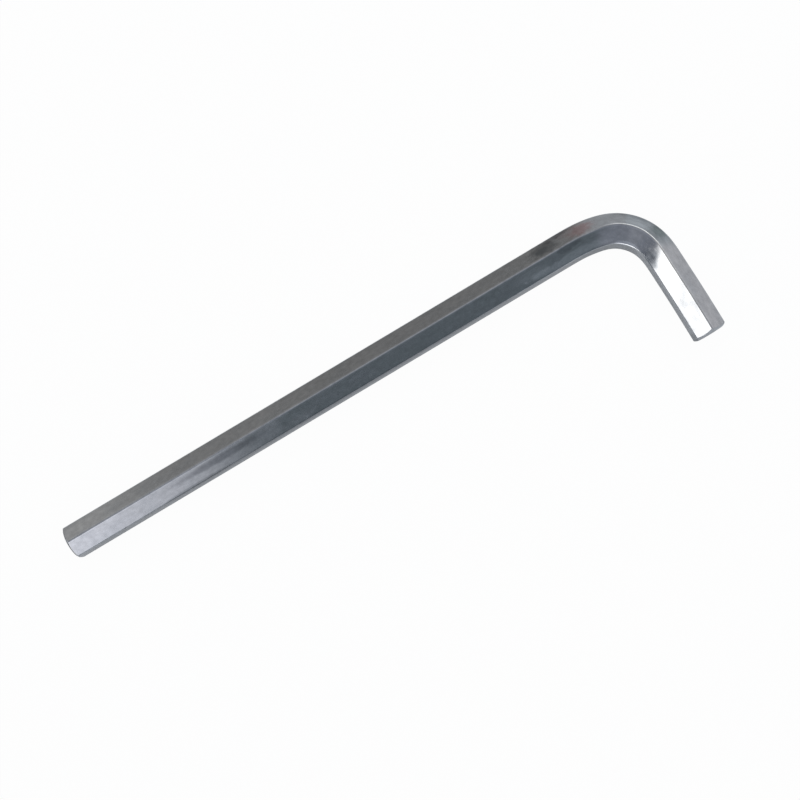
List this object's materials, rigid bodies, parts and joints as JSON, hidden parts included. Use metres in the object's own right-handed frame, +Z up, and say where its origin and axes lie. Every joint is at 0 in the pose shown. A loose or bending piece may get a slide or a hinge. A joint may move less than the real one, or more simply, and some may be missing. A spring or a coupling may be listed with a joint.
{
  "type": "hex key",
  "caption": "L-shaped hexagonal steel key with a long arm, a short arm and chamfered tips, for turning socket head screws.",
  "frame": {"origin": "on the surface that the key lies on, under the middle of the key's outline as seen from above", "axes": "+Z up; +X along the long arm, from its tip to the bend; the short arm points along -Y"},
  "size_m": [0.287, 0.0706, 0.0159],
  "materials": {
    "plated_steel": "nickel-chrome plate over drawn hexagonal bar, bright but a little cloudy, finely pitted and streaked along the bar"
  },
  "bodies": {
    "root": {"hex_key": "plated_steel"}
  },
  "joints": []
}
